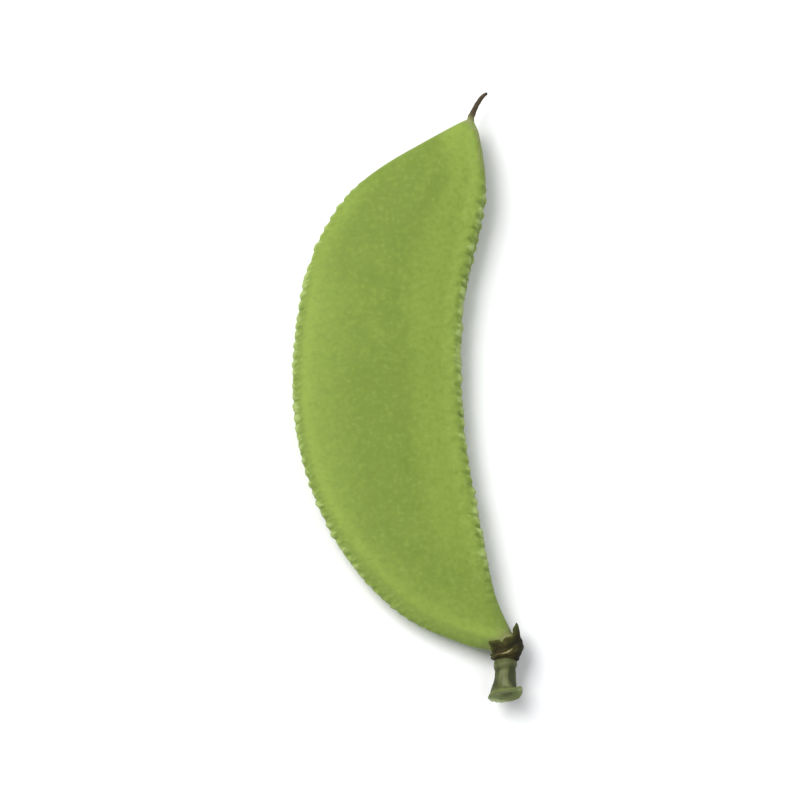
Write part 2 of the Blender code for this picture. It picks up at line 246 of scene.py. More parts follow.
WRINKLES = (0.5, 0.08, 6)
WRINKLE_STRETCH = (0.6, 1.0, 1.0)
LUMPS = (1.5, 0.10, 7)
CUP_WALL = 0.2
CUP_WALL_FOOT = 0.35
CUP_INSIDE_LEAST = 0.1
CUP_INSIDE_FLOOR = 0.12
# Painted shade inside the cup: a low relief and a tone that darkens ring by ring towards its floor
INSIDE_SHADE_RELIEF = -0.1
INSIDE_SHADE = (0.9, -0.08)  # share of the last ring's tone, and what is added

# Parts of the calyx: place round it, spread and amount
TOP_SIDE = (0.20, 0.085)
SPIKE = (0.01, 0.04, 0.75)
# Painted shade on the calyx's seam side, which is turned away from the light
SEAM_SIDE_SHADE = (0.06, 0.09, 0.75)
SEAM_SIDE_SHADE_LOSS = (0.55, 0.9, 0.7)  # shares of the height, and how much
LIP_ZONE = (0.86, 0.93)  # shares of the height

# Soft spots of colour on the calyx, among them two of painted shade: place round it and spread, share of
# its height and spread, how fast it climbs round the calyx, and tone
TONE_AND_SHADE_SPOTS = (
    (0.25, 0.06, 0.35, 0.08, 1.3, 0.65),
    # painted shade of a deep fold
    (0.18, 0.08, 0.611, 0.08, 1.3, -0.7),
    # painted shade at the calyx's foot
    (0.40, 0.08, 0.0, 0.18, 0.0, -0.6),
)
RUST_SPOT = (0.36, 0.09, 0.35, 0.22, 0.0, 1.0)
# Folds are painted lighter on their crests and darker in their hollows: painted highlight and painted shade
FOLD_HIGHLIGHT_AND_SHADE = 0.40
LIP_TONE = 0.3

# Stalk stub: its path (x, y, radius) in mm, and its forms in mm and shares of its length from the
# calyx to the cut end
PEDICEL_PATH = (
    (0.08, -44.0, 1.2),
    (0.06, -44.8, 1.9),
    (-0.08, -46.4, 1.78),
    (-0.28, -47.9, 1.9),
    (-0.4, -49.3, 2.2),
    (-0.38, -50.75, 2.8),
)
STALK_FIBRES = (26.0, 0.05, 8)
STALK_BEND = (2.5, 0.25, 9)
STALK_LUMPS = (0.9, 0.08, 10)
STALK_LUMP_STRETCH = (1.0, 0.45, 1.0)
# Ridges with the highest on top. The stalk's colour follows their relief and the collar's: painted highlight
# on the crests and painted shade in the furrows and the waist.
STALK_RIDGES = 3.0
STALK_RIDGE_AT = 0.215
STALK_RIDGE = 0.15
STALK_RIDGES_START = (0.30, 0.45)
STALK_RIDGES_LOSS = (0.72, 0.92, 0.7)
COLLAR_AT = 0.275
COLLAR_SLANT = 0.035
COLLAR = (0.045, 0.07)  # spread and height
WAIST = (0.035, 0.08)
WAIST_FROM_COLLAR = 0.095
FLARE_LIP = 0.04
FLARE_WAVES = (12.0, 0.12, 11)
FLARE_ZONE = (0.86, 0.97)
FLARE_TONE = (0.82, 1.0, 0.7)
EAR = (0.06, 0.07)  # pointed corner of the cut end: place round it and spread
EAR_ZONE = (0.82, 1.0)
EAR_OUT = 0.30
EAR_UP = 0.9
EAR_TONE = 0.4
CUT_RIM_HIGHLIGHT = (0.65, 0.13)  # painted highlight on part of the cut end's rim
CUT_RIM_HIGHLIGHT_ZONE = (0.90, 1.0)
CUT_RIM_HIGHLIGHT_TONE = 1.2
STALK_SHRINK = 0.05
CUT_SLANT = (0.35, 0.18)  # how far the cut end leans and stands back
CUT_ZONE = (0.75, 1.0)
PITH = np.array([0.45, 0.0, 0.1]) * MM
CUT_RINGS = (  # share of the rim's size, depth in mm and tone
    (0.97, -0.10, 1.0),
    (0.92, -0.15, 1.0),
    (0.85, -0.16, 1.0),
    (0.76, -0.12, 0.95),
    (0.66, -0.06, 0.9),
    (0.56, 0.00, 0.85),
    (0.46, 0.06, 0.85),
    (0.37, 0.16, 0.7),
    (0.28, 0.28, 0.5),
    (0.19, 0.36, 0.35),
    (0.10, 0.40, 0.3),
)
CUT_CRUMBLE = (0.45, 0.10, 12)
CUT_RIM_ZONE = (0.50, 0.80)

# Dry style: its path (x, y, radius) in mm
STYLE_PATH = (
    (-0.15, 49.4, 0.66),
    (0.04, 50.2, 0.58),
    (0.43, 51.0, 0.5),
    (1.18, 52.4, 0.43),
    (2.08, 53.6, 0.38),
    (2.88, 54.2, 0.3),
)
STYLE_POINT = 0.2 * MM
STYLE_LUMPS = (0.5, 0.07, 13)
STYLE_WRINKLES = (6.0, 0.07, 14)
STYLE_SMOOTHER = 0.4  # share of its relief that is lost towards the point
STYLE_SHRINK = 0.03

# Mesh density
FINE_STEPS = 1601
CALYX_AROUND = 220
CALYX_RINGS = 70
CALYX_INNER_RINGS = 36
NECK_RIBS = 181
NECK_REACH = 4.8
PEDICEL_AROUND = 144
PEDICEL_RINGS = 120
STYLE_AROUND = 28
STYLE_RINGS = 70
POD_STATIONS = 640
POD_AROUND = 148
SECTION_SAMPLES = 512
GIRTH_SAMPLES = 1025
MARGIN_DENSITY = 3.6
SEAM_REACH = 4.6 * MM
BACK_REACH = 2.6 * MM
REACH_FADES = (0.7, 1.3)  # the finer mesh fades between these shares of its reach

# Noise
NOISE_TABLE = 32
NOISE_SHIFT = 1000.0  # keeps every place above 0
NOISE_ROUGHNESS = 0.55  # of the noise in materials

# Sockets of a Mix node for colours: the share, both colours, and the mixed one
MIX_INPUTS = (0, 6, 7)
MIX_OUTPUT = 2


# Outline and sections. A point or direction in a section is a complex number: its distance out along
# the rib, plus 1j times that up from the middle plane.

def spline(rows, at):
    """Natural cubic spline through rows, whose knots are whole numbers, read at each value of at."""
    rows = np.asarray(rows, float)
    last = len(rows) - 1
    bend = np.zeros_like(rows)
    system = np.diag(np.full(last - 1, 4.0))
    system += np.diag(np.ones(last - 2), 1) + np.diag(np.ones(last - 2), -1)
    bend[1:last] = np.linalg.solve(system, 6.0 * (rows[2:] - 2.0 * rows[1:-1] + rows[:-2]))
    start = np.clip(np.floor(at).astype(int), 0, last - 1)
    after = (at - start)[:, None]
    before = 1.0 - after
    straight = before * rows[start] + after * rows[start + 1]
    return straight + ((before ** 3 - before) * bend[start] + (after ** 3 - after) * bend[start + 1]) / 6.0


def ramp(value, low, high, height=1.0):
    """Rises smoothly from 0 at low to height at high."""
    share = np.clip((value - low) / (high - low), 0.0, 1.0)
    return height * (share * share * (3.0 - 2.0 * share))


def bell(distance, spread, height=1.0):
    """Falls smoothly from height on both sides of distance 0."""
    return height * np.exp(-((distance / spread) ** 2))


def round_bell(places, centre, spread, height=1.0):
    """Bell round a ring, about this place."""
    return bell((places - centre + 0.5) % 1.0 - 0.5, spread, height)


def zone(ribs, ends):
    """Column that rises from the first of these ribs to the second."""
    return ramp(ribs, *ends)[:, None]


def running_sum(steps):
    """Sums of the steps up to each place, from 0, along the last axis."""
    return np.concatenate([np.zeros_like(steps[..., :1]), np.cumsum(steps, -1)], -1)


def rib_ends(ribs):
    """Back and seam ends of the ribs at these places, in metres."""
    ends = spline(RIBS, ribs) * MM
    return ends[:, :2], ends[:, 2:]


def margin_lengths(ribs):
    """Length along the back margin and along the seam margin up to each rib."""
    fine = np.linspace(0.0, LAST_RIB, FINE_STEPS)
    lengths = []
    for ends in rib_ends(fine):
        steps = np.linalg.norm(np.diff(ends, axis=0), axis=1)
        lengths.append(np.interp(ribs, fine, running_sum(steps)))
    return lengths


def even_ribs(first, last, count):
    """Ribs at even steps along whichever margin is the longer at each place."""
    fine = np.linspace(first, last, FINE_STEPS)
    back, seam = margin_lengths(fine)
    walked = running_sum(np.maximum(np.diff(back), np.diff(seam)))
    return np.interp(np.linspace(0.0, walked[-1], count), walked, fine)


def half_thickness(from_back, from_seam):
    """Half thickness of a lens-shaped section at these distances from its margins."""
    back_rise = 1.0 - np.exp(-((from_back / BACK_SLOPE) ** SLOPE_POWER))
    seam_rise = 1.0 - np.exp(-((from_seam / SEAM_SLOPE) ** SLOPE_POWER))
    band = bell(from_seam, *SEAM_BAND) * ramp(from_back + from_seam, *SEAM_BAND_RIBS)
    full = EDGE_HALF + VALVE_RISE * back_rise * seam_rise + band
    back_in = np.clip(1.0 - from_back / BACK_ROUNDING, 0.0, 1.0)
    seam_in = np.clip(1.0 - from_seam / SEAM_ROUNDING, 0.0, 1.0)
    seam_edge = SEAM_FACE_SHARE + (1.0 - SEAM_FACE_SHARE) * np.sqrt(1.0 - seam_in ** 2)
    return full * np.sqrt(1.0 - back_in ** 2) * seam_edge


def seed_swelling(ribs, from_seam, width):
    """Height of the swellings over the seeds."""
    _, along = margin_lengths(ribs)
    _, centres = margin_lengths(np.array(SEED_RIBS))
    swelling = np.zeros_like(from_seam)
    for centre in centres:
        lengthwise = ((along[:, None] - centre) / SEED_LENGTH) ** 2
        across = ((from_seam - SEED_FROM_SEAM * width) / SEED_WIDTH) ** 2
        swelling += SEED_HEIGHT * np.exp(-lengthwise - across)
    return swelling


def section_frame(ribs):
    """Middle of each rib, its unit vector, its width and the height and twist of the middle plane."""
    back, seam = rib_ends(ribs)
    width = np.linalg.norm(seam - back, axis=1)
    across = (seam - back) / width[:, None]
    _, along = margin_lengths(np.append(ribs, LAST_RIB))
    share = along[:-1] / along[-1]
    height = REST_HEIGHT + BOW * (2.0 * share - 1.0) ** 2
    twist = TWIST * ramp(share, TWIST_FROM, 1.0)
    return (back + seam) / 2.0, across, width, height, twist


def lens_section(ribs, width, angle):
    """Lens-shaped sections with a blunt seam face."""
    over_top = angle <= math.pi
    opened = np.where(over_top, angle, TURN - angle)
    turned = np.clip((opened - SEAM_FACE_ANGLE) / (math.pi - SEAM_FACE_ANGLE), 0.0, 1.0) * math.pi
    from_seam = width * (1.0 - np.cos(turned)) / 2.0
    thick = half_thickness(width - from_seam, from_seam) + seed_swelling(ribs, from_seam, width)
    up_face = np.clip(opened / SEAM_FACE_ANGLE, 0.0, 1.0)
    return width / 2.0 - from_seam + 1j * np.where(over_top, 1.0, -1.0) * thick * up_face


def round_section(width, angle):
    """Oval sections of the neck and the tip."""
    up = NECK_HALF * np.tanh(width / 2.0 * NECK_THICKNESS / NECK_HALF)
    return width / 2.0 * np.cos(angle) + 1j * up * np.sin(angle)


def section_roundness(ribs):
    """1 where the section is oval, at the neck and the tip, and 0 where it is a lens."""
    return np.maximum(1.0 - zone(ribs, NECK_FLATTENS), zone(ribs, TIP_ROUNDS))


def smooth_sections(ribs, samples):
    """Closed, even sections with soft corners, their outward directions and their girths."""
    _, _, width, _, _ = section_frame(ribs)
    width = width[:, None]
    even = np.linspace(0.0, 1.0, samples, endpoint=False)
    lens, oval = lens_section(ribs, width, TURN * even), round_section(width, TURN * even)
    section = lens + (oval - lens) * section_roundness(ribs)
    section = np.concatenate([section, section[:, :1]], 1)
    walked = running_sum(np.abs(np.diff(section, axis=1)))
    for row, lengths in zip(section, walked):
        row[:-1] = np.interp(even * lengths[-1], lengths, row)
    girth = walked[:, -1:]
    waves = np.fft.fft(section[:, :-1], axis=1)
    turns = np.fft.fftfreq(samples) * samples
    waves *= np.exp(-2.0 * (math.pi * turns * CORNER_SOFTNESS / girth) ** 2)
    slopes = np.fft.ifft(1j * turns * waves, axis=1)
    return np.fft.ifft(waves, axis=1), -1j * slopes / np.abs(slopes), girth


def placed(middle, across, height, twist, section):
    """Points of sections in space."""
    turned = section * np.exp(1j * twist)[:, None]
    points = np.empty(section.shape + (3,))
    points[..., :2] = middle[:, None] + turned.real[..., None] * across[:, None]
    points[..., 2] = height[:, None] + turned.imag
    return points


# Rough margins

def wart_rows(length, rim, warts, draw):
    """Warts on both rims of a margin: place along it, place round it, radius and height."""
    spacing, radius, height = warts
    rows = []
    for side in (1.0, -1.0):
        along = spacing
        while along < length - spacing:
            round_by = side * rim * draw.uniform(*WART_PLACES)
            broad = radius * draw.uniform(*WART_SIZES)
            rows.append((along, round_by, broad, height * draw.uniform(*WART_SIZES)))
            along += spacing * draw.uniform(*WART_SPACINGS)
    return rows


def warts_height(along, round_by, rows):
    """Sum of all warts at each point of a margin."""
    height = np.zeros_like(round_by)
    for centre, level, radius, top in rows:
        near = np.abs(along - centre) < WART_REACH * radius
        reach = (along[near, None] - centre) ** 2 + (round_by[near] - level) ** 2
        height[near] += top * np.exp(-reach / radius ** 2)
    return height


def bump_rows(length, kinds, draw):
    """Long bumps on both sides of a margin: place along and round it, half length and width, turn, height."""
    rows = []
    for level, spread, spacing, long, broad, turn, turn_spread, height in kinds:
        for side in (1.0, -1.0):
            along = draw.uniform(*BUMP_STARTS) * spacing
            while along * MM < length:
                size = draw.uniform(*BUMP_SIZES)
                rows.append((
                    along * MM,
                    side * (level + draw.uniform(-spread, spread)) * MM,
                    long * size * MM,
                    broad * size * MM,
                    side * math.radians(turn + draw.uniform(-turn_spread, turn_spread)),
                    height * draw.uniform(*BUMP_HEIGHTS) * MM,
                ))
                along += spacing * draw.uniform(*BUMP_SPACINGS)
    return rows


def notch_rows(warts, notch, draw):
    """Clefts across a rim, one between each two neighbouring warts of a row, as long bumps."""
    level, long, broad, turn, turn_spread, depth = notch
    rows = []
    for first, second in zip(warts, warts[1:]):
        if second[0] < first[0]:
            continue
        side = math.copysign(1.0, first[1])
        rows.append((
            (first[0] + second[0]) / 2.0 + draw.uniform(*NOTCH_SHIFTS) * MM,
            side * (level + draw.uniform(*NOTCH_LEVELS)) * MM,
            long * draw.uniform(*NOTCH_LENGTHS) * MM,
            broad * draw.uniform(*NOTCH_WIDTHS) * MM,
            side * math.radians(turn + draw.uniform(-turn_spread, turn_spread)),
            depth * draw.uniform(*NOTCH_DEPTHS) * MM,
        ))
    return rows


def bumps_height(along, round_by, rows):
    """Height of the highest long bump at each point of a margin."""
    height = np.zeros_like(round_by)
    for centre, level, long, broad, turn, top in rows:
        near = np.abs(along - centre) < BUMP_REACH * long
        step = along[near, None] - centre
        aside = round_by[near] - level
        lengthwise = (step * math.cos(turn) + aside * math.sin(turn)) / long
        crosswise = (aside * math.cos(turn) - step * math.sin(turn)) / broad
        bump = top * np.exp(-((lengthwise ** 2 + crosswise ** 2) ** BUMP_POWER))
        height[near] = np.maximum(height[near], bump)
    return height


def rough_margins(ribs, from_back, from_groove):
    """Heights of the rim warts, shoulder warts, seam bumps, back bumps and clefts of both margins."""
    along_back, along_seam = margin_lengths(ribs)
    back, seam = (along_back, from_back), (along_seam, from_groove)
    back_length, seam_length = along_back[-1], along_seam[-1]
    draw = random.Random(WART_SEED)
    seam_warts = wart_rows(seam_length, SEAM_RIM, SEAM_WARTS, draw)
    shoulder_warts = wart_rows(seam_length, SHOULDER_AT, SHOULDER_WARTS, draw)
    back_warts = wart_rows(back_length, BACK_RIM, BACK_WARTS, draw)
    rims = warts_height(*seam, seam_warts) + warts_height(*back, back_warts)
    shoulders = warts_height(*seam, shoulder_warts)
    draw = random.Random(BUMP_SEED)
    notches = bumps_height(*seam, notch_rows(seam_warts, SEAM_NOTCH, draw))
    notches += bumps_height(*back, notch_rows(back_warts, BACK_NOTCH, draw))
    seam_bumps = bumps_height(*seam, bump_rows(seam_length, SEAM_BUMPS, draw))
    back_bumps = bumps_height(*back, bump_rows(back_length, BACK_BUMPS, draw))
    clefts = bumps_height(*seam, bump_rows(seam_length, SEAM_CLEFTS, draw))
    clefts += bumps_height(*back, bump_rows(back_length, BACK_CLEFTS, draw))
    return rims, shoulders, seam_bumps, back_bumps, clefts + notches


# Noise

def lattice_noise(points, size, seed):
    """Smooth noise from -1 to 1 with features of this size."""
    table = np.random.default_rng(seed).random((NOISE_TABLE,) * 3) * 2.0 - 1.0
    scaled = points / size + NOISE_SHIFT
    cell = np.floor(scaled).astype(int)
    share = scaled - cell
    share = share * share * (3.0 - 2.0 * share)
    value = 0.0
    for corner in np.ndindex(2, 2, 2):
        weight = np.prod(np.where(np.array(corner) == 1, share, 1.0 - share), axis=-1)
        index = (cell + corner) % NOISE_TABLE
        value = value + weight * table[index[..., 0], index[..., 1], index[..., 2]]
    return value


def relief(points, kind):
    """Heights of a kind of noise at these points."""
    size, height, seed = kind
    return lattice_noise(points, size * MM, seed) * height


def ring_relief(places, kind):
    """Heights of a kind of noise that closes on itself round a ring."""
    count, height, seed = kind
    angle = TURN * places
    circle = np.stack([np.cos(angle), np.sin(angle), 0.0 * places], axis=-1)
    return lattice_noise(circle * count / TURN, 1.0, seed) * height


# Meshes

def add_object(name, data):
    """New object in the scene."""
    thing = bpy.data.objects.new(name, data)
    bpy.context.scene.collection.objects.link(thing)
    return thing


def make_piece(name, rings, shades, start=0.0, end=0.0):
    """Closed object from rings of points. Each end is closed by a fan round its middle, moved by start
    or end. Shades hold a value for each point of the rings, by the name of their attribute."""
    count, around = rings.shape[:2]
    index = np.arange(count * around).reshape(count, around)
    follow = np.roll(index, -1, axis=1)
    quads = np.stack([index[:-1], follow[:-1], follow[1:], index[1:]], axis=-1)
    faces = quads.reshape(-1, 4).tolist()
    faces += [(after, here, index.size) for here, after in zip(index[0], follow[0])]
    faces += [(here, after, index.size + 1) for here, after in zip(index[-1], follow[-1])]
    tips = [rings[0].mean(axis=0) + start, rings[-1].mean(axis=0) + end]
    points = np.concatenate([rings.reshape(-1, 3), tips])
    mesh = bpy.data.meshes.new(name)
    mesh.from_pydata((points + ROW_SHIFT).tolist(), [], faces)
    for key, values in shades.items():
        layer = mesh.attributes.new(key, "FLOAT", "POINT")
        ends = [values[0].mean(), values[-1].mean()]
        layer.data.foreach_set("value", np.concatenate([values.ravel(), ends]).astype(np.float32))
    mesh.shade_smooth()
    return add_object(name, mesh)


def pod_places(girth):
    """Places round each section, as shares of its girth, closer together near both margins."""
    even = np.linspace(0.0, 1.0, GIRTH_SAMPLES)
    walked = even * girth
    density = np.ones_like(walked)
    for distance, reach in ((np.minimum(walked, girth - walked), SEAM_REACH),
                            (np.abs(girth / 2.0 - walked), BACK_REACH)):
        near = 1.0 - ramp(distance, REACH_FADES[0] * reach, REACH_FADES[1] * reach)
        density = density + MARGIN_DENSITY * near
    summed = running_sum((density[:, 1:] + density[:, :-1]) / 2.0)
    wanted = np.linspace(0.0, 1.0, POD_AROUND, endpoint=False)
    return np.array([np.interp(wanted * row[-1], row, even) for row in summed])


def read_sections(values, places):
    """Reads even, closed sections at these shares of their girth."""
    samples = values.shape[1]
    low = np.floor(places * samples).astype(int)
    share = places * samples - low
    rows = np.arange(len(values))[:, None]
    return values[rows, low % samples] * (1.0 - share) + values[rows, (low + 1) % samples] * share


def way_out(end, beside):
    """Unit vector to the middle of an end from the middle of a ring beside it."""
    step = end.mean(axis=0) - beside.mean(axis=0)
    return step / np.linalg.norm(step)


def zoned(rows, *zones):
    """Values that change along the pod. Each row is a value and what each of the zones adds to it."""
    return [base + sum(part * here for part, here in zip(parts, zones)) for base, *parts in rows]


def seam_light(ribs, to_seam):
    """Strength of the light band beside the seam."""
    rib, length = BROAD_PLACE
    broad = bell(ribs - rib, length)[:, None]
    full_to, gone_from, strength = zoned(SEAM_LIGHT, zone(ribs, TIP_ZONE), broad)
    band = 1.0 - ramp(to_seam, full_to * MM, gone_from * MM)
    return band * strength * zone(ribs, SEAM_LIGHT_ZONE)


def back_band_and_ridge_highlight(ribs, to_back, ridge_at):
    """Strength of the pale band beside the back margin, with the painted highlight along its ridge."""
    width, strength, highlight_width, line = zoned(BACK_BAND_AND_RIDGE_HIGHLIGHT, zone(ribs, MIDDLE_ZONE), zone(ribs, TOP_ZONE))
    band = strength * np.clip(1.0 - to_back / (width * MM), 0.0, 1.0)
    band = band + line * bell(to_back - ridge_at, highlight_width * MM)
    return band * (1.0 - zone(ribs, BACK_LIGHT_LOSS))


def painted_margin_shade(ribs, to_seam, to_back, ridge_at):
    """Strength of the painted shade in strips at the very margins."""
    toward_tip = np.maximum(zone(ribs, TIP_ZONE), zone(ribs, TOP_ZONE))
    seam = 1.0 - ramp(to_seam, *SEAM_SHADE_STRIP)
    back = 1.0 - ramp(to_back, ridge_at - BACK_SHADE_STRIP[0], ridge_at - BACK_SHADE_STRIP[1])
    return STRIP_SHADE_SHARE * np.maximum(seam, back * (1.0 - STRIP_SHADE_TIP_LOSS * toward_tip))


def dryness(ribs, to_seam):
    """How dry the skin is: at the neck, beside the seam near the tip and at the tip."""
    withered = zone(ribs, WITHERED_DRY) * bell(to_seam - WITHERED_AT, WITHERED_WIDTH)
    return np.clip(zone(ribs, APEX_DRY) + withered + zone(ribs, NECK_DRY), 0.0, 1.0)


def make_pod():
    """The pod, with warts, fine bumps and clefts on both margins and a groove along the seam."""
    ribs = even_ribs(NECK_END, LAST_RIB, POD_STATIONS)
    middle, across, _, height, twist = section_frame(ribs)
    section, outward, girth = smooth_sections(ribs, SECTION_SAMPLES)
    places = pod_places(girth)
    section = read_sections(section, places)
    outward = read_sections(outward, places)
    outward /= np.abs(outward)
    walked = places * girth
    from_groove = np.where(places > 0.5, walked - girth, walked)
    from_back = girth / 2.0 - walked
    to_seam, to_back = np.abs(from_groove), np.abs(from_back)
    rims, shoulders, seam_bumps, back_bumps, clefts = rough_margins(ribs, from_back, from_groove)
    groove = bell(from_groove, GROOVE_WIDTH)
    plain = 1.0 - section_roundness(ribs)
    roughness = plain * (1.0 - zone(ribs, WARTS_FADE))
    ridge_at = (BACK_RIDGE_AT + BACK_RIDGE_NEAR_BASE * (1.0 - zone(ribs, BACK_RIDGE_DRAWS_IN))) * MM
    ridge = bell(to_back - ridge_at, *BACK_RIDGE)
    ridge = ridge * (zone(ribs, BACK_RIDGE_STARTS) * (1.0 - zone(ribs, BACK_RIDGE_ENDS)))
    rough = (rims + shoulders + seam_bumps + back_bumps - clefts) * roughness
    section = section + (rough - GROOVE_DEPTH * groove * plain + ridge) * outward
    points = placed(middle, across, height, twist, section)
    points[..., 2] = np.maximum(points[..., 2], 0.0)
    # Raised bumps are painted pale, partly their own colour and partly painted highlight; clefts and the
    # groove get painted shade.
    raised = rims * RIM_WART_SHADE + seam_bumps * SEAM_BUMP_SHADE + back_bumps * BACK_BUMP_SHADE
    sunk = clefts / FULL_CLEFT * roughness + GROOVE_SHADE * groove * plain
    shades = {
        # pale bands beside both margins, with a painted highlight along the back ridge
        "margin": np.maximum(seam_light(ribs, to_seam), back_band_and_ridge_highlight(ribs, to_back, ridge_at)),
        # painted shade in strips at the very margins
        "edge": painted_margin_shade(ribs, to_seam, to_back, ridge_at),
        "wart": np.clip(raised / FULL_WART, 0.0, 1.0) * roughness,
        "cleft": np.clip(sunk, 0.0, 1.0),
        "dry": dryness(ribs, to_seam),
    }
    start, end = way_out(points[0], points[1]), way_out(points[-1], points[-2])
    return make_piece("bean_pod", points, shades, start * END_DOME, end * END_DOME)


def neck_grid():
    """Points round the pod's neck and the directions away from it."""
    ribs = np.linspace(0.0, NECK_REACH, NECK_RIBS)
    middle, across, _, height, twist = section_frame(ribs)
    section, outward, _ = smooth_sections(ribs, SECTION_SAMPLES)
    points = placed(middle, across, height, twist, section)
    return points, placed(0.0 * middle, across, 0.0 * height, twist, outward)


def read_neck(neck, ribs, places, distance):
    """Points at this distance from the pod's neck, at these ribs and shares of the way round."""
    points, normals = neck
    column = places * SECTION_SAMPLES
    row = np.clip(ribs / NECK_REACH * (NECK_RIBS - 1), 0.0, NECK_RIBS - 1.001)
    low_row, low_column = np.floor(row).astype(int), np.floor(column).astype(int)
    up_share, on_share = (row - low_row)[..., None], (column - low_column)[..., None]
    result = 0.0
    for up, on in np.ndindex(2, 2):
        weight = (up_share if up else 1.0 - up_share) * (on_share if on else 1.0 - on_share)
        cell = (low_row + up, (low_column + on) % SECTION_SAMPLES)
        result = result + weight * (points[cell] + normals[cell] * distance[..., None])
    return result


def lobe_reach(places):
    """How far the calyx's ragged rim reaches past its base line, in ribs."""
    reach = np.zeros_like(places)
    for place, height in LOBES:
        apart = np.abs((places - place + 0.5) % 1.0 - 0.5) / LOBE_HALF
        reach = np.maximum(reach, height * np.clip(1.0 - apart ** LOBE_POWER, 0.0, 1.0))
    return reach + CALYX_SLANT * np.cos(TURN * places)


def spot(places, share, shape):
    """Soft spot of colour at this share of the calyx's height."""
    place, spread, level, level_spread, climb, tone = shape
    aside = places - place
    return bell(aside, spread, tone) * bell(share - level + climb * aside, level_spread)


def calyx_fold(places, share, grid, wander):
    """Height of the slanting folds of the calyx, from about -1 to 1."""
    turn = FOLD_COUNT * share - FOLD_START + FOLD_WANDER * wander + relief(grid, FOLD_BREAKS)
    fine = np.sin(TURN * (FINE_FOLD_COUNT * turn + FINE_FOLD_WANDER * wander))
    fold = np.sin(TURN * turn) + FINE_FOLD_HEIGHT * fine
    return fold * math.sin(math.pi * min(1.0, FOLD_FOOT + (1.0 - FOLD_FOOT) * share))


def calyx_tone_and_shade(places, share, fold, lip):
    """How much lighter or darker than its plain brown the calyx is: a pale patch and lip, with painted
    highlight on the folds' crests and painted shade in their hollows, on the seam side and in two spots.
    """
    spots = sum(spot(places, share, shape) for shape in TONE_AND_SHADE_SPOTS)
    # painted shade on the seam side
    seam = round_bell(places, *SEAM_SIDE_SHADE) * (1.0 - ramp(share, *SEAM_SIDE_SHADE_LOSS))
    return FOLD_HIGHLIGHT_AND_SHADE * fold + LIP_TONE * lip + spots - seam


def calyx_outside(neck, places, rim):
    """Outer rings of the calyx from its foot to its rim, each with its shades, and the last distance."""
    wander = ring_relief(places, WANDER)
    rim_out = ring_relief(places, RIM_CURL) - RIM_DRAWN_IN + round_bell(places, *SPIKE)
    rows = []
    for step in range(CALYX_RINGS + 1):
        share = step / CALYX_RINGS
        ribs = rim * share
        grid = read_neck(neck, ribs, places, 0.0 * places)
        fold = calyx_fold(places, share, grid, wander)
        wrinkle = relief(grid * WRINKLE_STRETCH, WRINKLES)
        lump = relief(grid, LUMPS)
        outer = CUP_DISTANCE + CUP_BELLY * math.sin(math.pi * share) + FOLD_HEIGHT * fold + wrinkle + lump
        outer = outer + rim_out * ramp(share, *RIM_ZONE)
        lip = round_bell(places, *TOP_SIDE) * ramp(share, *LIP_ZONE)
        rows.append((read_neck(neck, ribs, places, outer * MM), wrinkle + lump, np.full_like(places, share),
                     calyx_tone_and_shade(places, share, fold, lip), spot(places, share, RUST_SPOT), lip))
    return rows, outer


def calyx_inside(neck, places, rim, outer, tone):
    """Inner rings of the calyx from its rim to its floor, each with its shades."""
    rows = []
    for step in range(1, CALYX_INNER_RINGS + 1):
        share = 1.0 - step / CALYX_INNER_RINGS
        wall = CUP_WALL + CUP_WALL_FOOT * (1.0 - share)
        inner = np.maximum(outer - wall, CUP_INSIDE_LEAST) * share + CUP_INSIDE_FLOOR * (1.0 - share)
        points = read_neck(neck, CALYX_FLOOR + (rim - CALYX_FLOOR) * share, places, inner * MM)
        # each ring down is darker: painted shade inside the cup
        tone = tone * INSIDE_SHADE[0] + INSIDE_SHADE[1]
        none = np.zeros_like(places)
        rows.append((points, none + INSIDE_SHADE_RELIEF, none + 0.5 + 0.5 * share, tone, none, none))
    return rows


def make_calyx():
    """Thin, dry cup with slanting folds and torn lobes, closed below round the stalk."""
    neck = neck_grid()
    places = np.linspace(0.0, 1.0, CALYX_AROUND, endpoint=False)
    rim = CALYX_RIM + lobe_reach(places) + ring_relief(places, RIM_TATTERS) + ring_relief(places, RIM_FRAY)
    outside, outer = calyx_outside(neck, places, rim)
    foot, *foot_shades = outside[0]
    centre, down = foot.mean(axis=0), way_out(foot, outside[CALYX_DOWN_FROM][0])
    shoulder = [(centre + (foot - centre) * share + down * drop * MM, *foot_shades)
                for share, drop in CALYX_FOOT]
    *_, rim_tone, _, _ = outside[-1]
    inside = calyx_inside(neck, places, rim, outer, rim_tone)
    rings, *shades = map(np.array, zip(*shoulder, *outside, *inside))
    return make_piece("dry_calyx", rings, dict(zip(CALYX_SHADES, shades)), start=down * CALYX_FOOT_DOME)


def tube(path, count, places, rib):
    """Centres, directions, outward directions and points of a round tube along a path of (x, y, radius)
    points, at the height of this rib."""
    centres = spline(path, np.linspace(0.0, len(path) - 1.0, count)) * MM
    radius = centres[:, 2].copy()
    _, _, _, centres[:, 2], _ = section_frame(np.array([rib]))
    along = np.gradient(centres, axis=0)
    along /= np.linalg.norm(along, axis=1)[:, None]
    angle = TURN * places[:, None]
    outward = np.cross(UP, along)[:, None] * np.cos(angle) + UP * np.sin(angle)
    return centres, along, outward, centres[:, None] + outward * radius[:, None, None]


